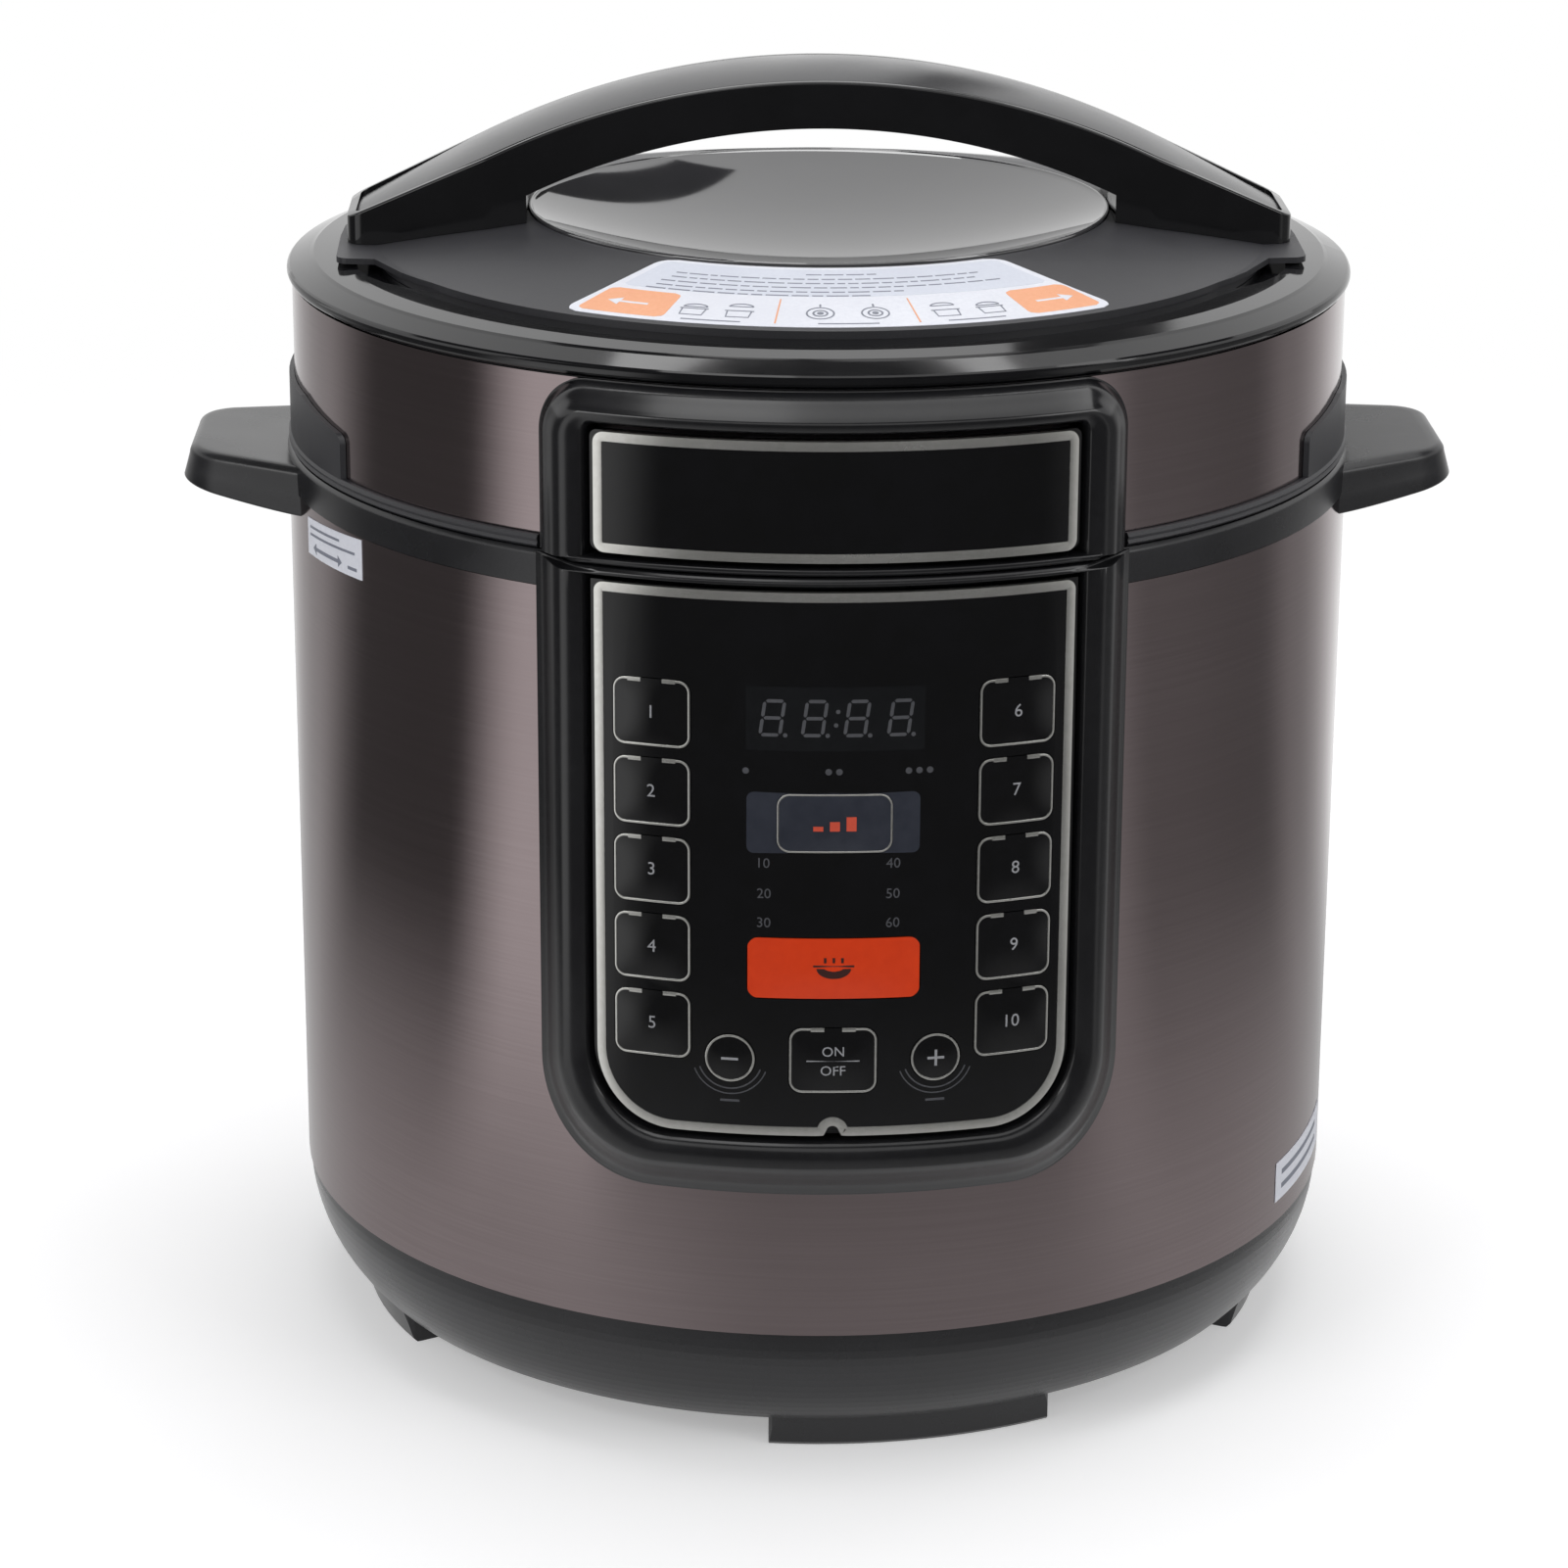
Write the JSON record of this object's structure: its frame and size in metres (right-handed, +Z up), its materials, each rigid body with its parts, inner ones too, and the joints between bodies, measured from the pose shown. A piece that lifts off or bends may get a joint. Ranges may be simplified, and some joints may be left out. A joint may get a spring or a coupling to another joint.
{
  "type": "electric pressure cooker",
  "caption": "Electric pressure cooker with a turning lift-off lid, an arched lid handle, a key panel and side ears.",
  "frame": {"origin": "on the pot's axis at the level that the feet rest on", "axes": "+Z up, -Y towards the control panel, the two ears along X"},
  "size_m": [0.334, 0.299, 0.3361],
  "materials": {
    "base_plastic": "moulded black polypropylene, satin",
    "inner_plastic": "moulded black plastic",
    "shell_steel": "brushed stainless steel with a bronze tint",
    "frame_plastic": "satin black plastic",
    "window_gloss": "glossy black film window",
    "bright_line": "bright silver line",
    "key_gloss": "glossy black key caps",
    "key_orange": "orange key cap",
    "pot_aluminium": "drawn aluminium",
    "coated_aluminium": "dark non-stick coated aluminium",
    "circuit_board": "green circuit board",
    "steel": "plain steel",
    "lid_steel": "polished stainless steel",
    "clear_plastic": "clear plastic cup",
    "silicone": "translucent white silicone",
    "lid_plastic": "matt black plastic",
    "lid_gloss": "glossy black plastic",
    "handle_satin": "satin black plastic",
    "bowl_gloss": "glossy black plastic"
  },
  "bodies": {
    "base": {"base_housing": "base_plastic", "bottom_cover": "base_plastic", "feet": "base_plastic", "base_screws": "steel", "outer_shell": "shell_steel", "upper_collar": "base_plastic", "outer_pot": "pot_aluminium", "heating_plate": "pot_aluminium", "sensor_spring": "steel", "pressure_switch": "inner_plastic", "power_board": "circuit_board", "control_board": "circuit_board", "display_module": "window_gloss", "button_carrier": "inner_plastic", "panel_surround": "frame_plastic", "panel_window": "window_gloss", "panel_trim": "bright_line", "power_inlet": "base_plastic", "cup_bracket": "base_plastic"},
    "pot": {"inner_pot": "coated_aluminium"},
    "seal": {"sealing_ring": "silicone"},
    "lid": {"lid_skirt": "lid_plastic", "lid_band": "shell_steel", "lid_ring": "lid_gloss", "lid_plate": "lid_plastic", "handle_bowl": "bowl_gloss", "handle_body": "lid_gloss", "handle_cover": "handle_satin", "lid_surround": "frame_plastic", "lid_window": "window_gloss", "lid_trim": "bright_line", "pressure_lid": "lid_steel", "seal_retainer": "steel", "exhaust_pipe": "steel", "pipe_shield": "steel", "float_seal": "silicone", "lid_screws": "steel", "centre_bolt": "steel"},
    "steam_valve": {"pressure_valve": "lid_plastic"},
    "float": {"float_valve": "steel"},
    "cup": {"condensation_cup": "clear_plastic"},
    "sensor": {"temperature_sensor": "pot_aluminium"},
    "key_left_1": {"key_left_1": "key_gloss"},
    "key_left_2": {"key_left_2": "key_gloss"},
    "key_left_3": {"key_left_3": "key_gloss"},
    "key_left_4": {"key_left_4": "key_gloss"},
    "key_left_5": {"key_left_5": "key_gloss"},
    "key_right_1": {"key_right_1": "key_gloss"},
    "key_right_2": {"key_right_2": "key_gloss"},
    "key_right_3": {"key_right_3": "key_gloss"},
    "key_right_4": {"key_right_4": "key_gloss"},
    "key_right_5": {"key_right_5": "key_gloss"},
    "key_minus": {"key_minus": "key_gloss"},
    "key_plus": {"key_plus": "key_gloss"},
    "key_cancel": {"key_cancel": "key_gloss"},
    "key_upper_bar": {"key_upper_bar": "key_gloss"},
    "key_lower_bar": {"key_lower_bar": "key_orange"}
  },
  "joints": [
    {"name": "pot_lift", "type": "slide", "parent": "base", "child": "pot", "axis": [0, 0, 1], "range_m": [0, 0.2]},
    {"name": "lid_lift", "type": "slide", "parent": "pot", "child": "seal", "axis": [0, 0, 1], "range_m": [0, 0.25]},
    {"name": "lid_turn", "type": "hinge", "parent": "seal", "child": "lid", "pos_m": [0, 0, 0.2385], "axis": [0, 0, 1], "range_deg": [-30, 0]},
    {"name": "steam_valve_turn", "type": "hinge", "parent": "lid", "child": "steam_valve", "pos_m": [-0.017, 0.098, 0.28], "axis": [0, 0, 1], "range_deg": [0, 90]},
    {"name": "float_rise", "type": "slide", "parent": "lid", "child": "float", "axis": [0, 0, 1], "range_m": [0, 0.004]},
    {"name": "cup_pull", "type": "slide", "parent": "base", "child": "cup", "axis": [0, 1, 0], "range_m": [0, 0.04]},
    {"name": "sensor_press", "type": "slide", "parent": "base", "child": "sensor", "axis": [0, 0, 1], "range_m": [-0.002, 0], "stiffness_N_per_m": 800, "springref_m": 0.004, "deforming": ["sensor_spring"]},
    {"name": "key_left_1_press", "type": "slide", "parent": "base", "child": "key_left_1", "axis": [0.3007, 0.9537, 0], "range_m": [0, 0.0005], "stiffness_N_per_m": 1000, "springref_m": -0.001},
    {"name": "key_left_2_press", "type": "slide", "parent": "base", "child": "key_left_2", "axis": [0.3007, 0.9537, 0], "range_m": [0, 0.0005], "stiffness_N_per_m": 1000, "springref_m": -0.001},
    {"name": "key_left_3_press", "type": "slide", "parent": "base", "child": "key_left_3", "axis": [0.3007, 0.9537, 0], "range_m": [0, 0.0005], "stiffness_N_per_m": 1000, "springref_m": -0.001},
    {"name": "key_left_4_press", "type": "slide", "parent": "base", "child": "key_left_4", "axis": [0.3007, 0.9537, 0], "range_m": [0, 0.0005], "stiffness_N_per_m": 1000, "springref_m": -0.001},
    {"name": "key_left_5_press", "type": "slide", "parent": "base", "child": "key_left_5", "axis": [0.3007, 0.9537, 0], "range_m": [0, 0.0005], "stiffness_N_per_m": 1000, "springref_m": -0.001},
    {"name": "key_right_1_press", "type": "slide", "parent": "base", "child": "key_right_1", "axis": [-0.3007, 0.9537, 0], "range_m": [0, 0.0005], "stiffness_N_per_m": 1000, "springref_m": -0.001},
    {"name": "key_right_2_press", "type": "slide", "parent": "base", "child": "key_right_2", "axis": [-0.3007, 0.9537, 0], "range_m": [0, 0.0005], "stiffness_N_per_m": 1000, "springref_m": -0.001},
    {"name": "key_right_3_press", "type": "slide", "parent": "base", "child": "key_right_3", "axis": [-0.3007, 0.9537, 0], "range_m": [0, 0.0005], "stiffness_N_per_m": 1000, "springref_m": -0.001},
    {"name": "key_right_4_press", "type": "slide", "parent": "base", "child": "key_right_4", "axis": [-0.3007, 0.9537, 0], "range_m": [0, 0.0005], "stiffness_N_per_m": 1000, "springref_m": -0.001},
    {"name": "key_right_5_press", "type": "slide", "parent": "base", "child": "key_right_5", "axis": [-0.3007, 0.9537, 0], "range_m": [0, 0.0005], "stiffness_N_per_m": 1000, "springref_m": -0.001},
    {"name": "key_minus_press", "type": "slide", "parent": "base", "child": "key_minus", "axis": [0.1719, 0.9851, 0], "range_m": [0, 0.0005], "stiffness_N_per_m": 1000, "springref_m": -0.001},
    {"name": "key_plus_press", "type": "slide", "parent": "base", "child": "key_plus", "axis": [-0.1719, 0.9851, 0], "range_m": [0, 0.0005], "stiffness_N_per_m": 1000, "springref_m": -0.001},
    {"name": "key_cancel_press", "type": "slide", "parent": "base", "child": "key_cancel", "axis": [0, 1, 0], "range_m": [0, 0.0005], "stiffness_N_per_m": 1000, "springref_m": -0.001},
    {"name": "key_upper_bar_press", "type": "slide", "parent": "base", "child": "key_upper_bar", "axis": [0, 1, 0], "range_m": [0, 0.0005], "stiffness_N_per_m": 1000, "springref_m": -0.001},
    {"name": "key_lower_bar_press", "type": "slide", "parent": "base", "child": "key_lower_bar", "axis": [0, 1, 0], "range_m": [0, 0.0005], "stiffness_N_per_m": 1000, "springref_m": -0.001}
  ]
}
